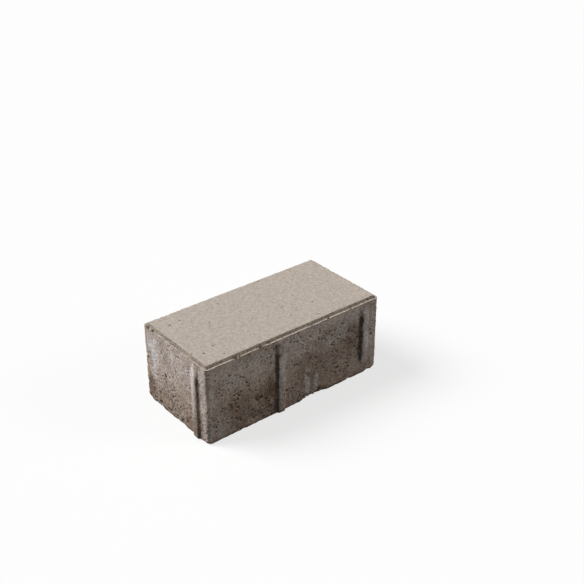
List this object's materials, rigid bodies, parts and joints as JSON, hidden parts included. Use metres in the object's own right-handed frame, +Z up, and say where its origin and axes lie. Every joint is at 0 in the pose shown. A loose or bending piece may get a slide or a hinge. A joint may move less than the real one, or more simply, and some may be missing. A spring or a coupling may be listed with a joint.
{
  "type": "concrete paving stone",
  "caption": "Rectangular vibration-pressed concrete paving stone with a pressed rim round the wearing face and upright spacer ribs on its sides, laid on edge-to-edge bedding.",
  "frame": {"origin": "middle of the underside, on the floor the stone rests on", "axes": "+X along the length, +Y across the width, +Z up through the wearing face"},
  "size_m": [0.2014, 0.1014, 0.08],
  "materials": {
    "concrete": "matte"
  },
  "bodies": {
    "root": {"paving_stone": "concrete"}
  },
  "joints": []
}
